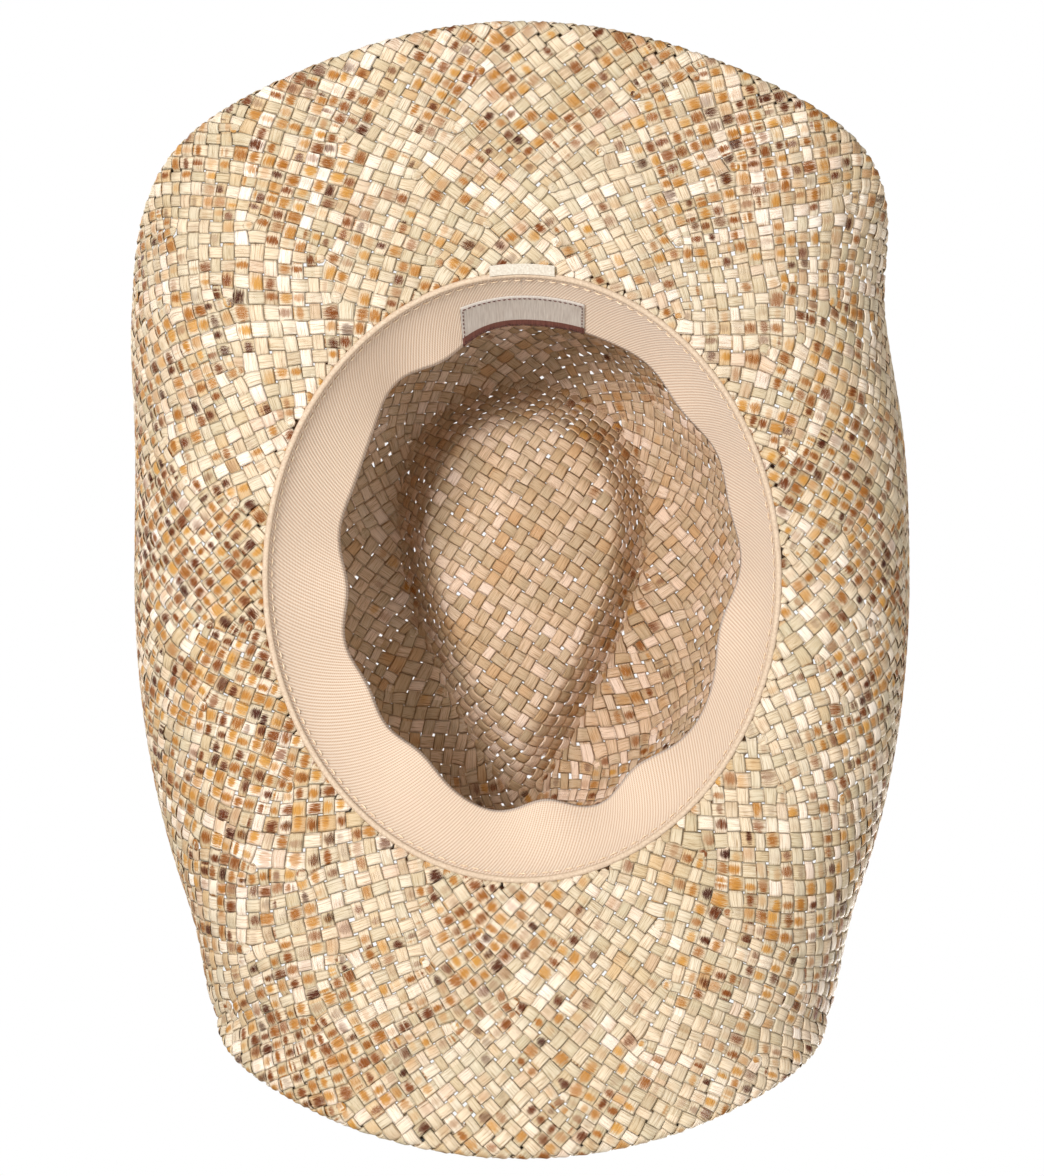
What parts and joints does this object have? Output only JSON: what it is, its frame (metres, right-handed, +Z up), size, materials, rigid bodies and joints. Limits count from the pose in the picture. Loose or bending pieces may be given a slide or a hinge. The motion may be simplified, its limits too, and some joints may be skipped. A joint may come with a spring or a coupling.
{
  "type": "cowboy hat",
  "caption": "Western cowboy hat of woven toasted seagrass straw with rolled sides, teardrop crown, twill sweatband and leather-look hatband.",
  "frame": {"origin": "on the surface that the hat stands on, under the middle of its bounding box", "axes": "+Z up as worn, -Y towards the front of the hat, +X towards the wearer's left"},
  "size_m": [0.2633, 0.3644, 0.1322],
  "materials": {
    "straw": "woven natural seagrass straw, toasted amber to dark brown in spots",
    "twill": "cream cotton twill tape",
    "tape": "white cotton tape",
    "satin": "grey woven satin label with a maroon edge, blank",
    "thread": "cream sewing thread",
    "dark_thread": "dark maroon sewing thread",
    "strap_leather": "brown leather-look strap, satin",
    "antique_metal": "antiqued nickel",
    "steel": "galvanised spring wire"
  },
  "bodies": {
    "root": {"crown": "straw", "brim": "straw", "brim_hem": "straw", "brim_wire": "steel", "wire_sleeve": "steel", "hem_stitching": "thread", "sweatband": "twill", "sweatband_piping": "twill", "sweatband_stitching": "thread", "band_join_tape": "tape", "label": "satin", "label_stitching": "dark_thread", "hatband": "strap_leather", "hatband_end": "strap_leather", "hatband_keeper": "strap_leather", "hatband_stitching": "thread", "hatband_tacks": "thread", "concho": "antique_metal", "concho_screw": "antique_metal"}
  },
  "joints": []
}
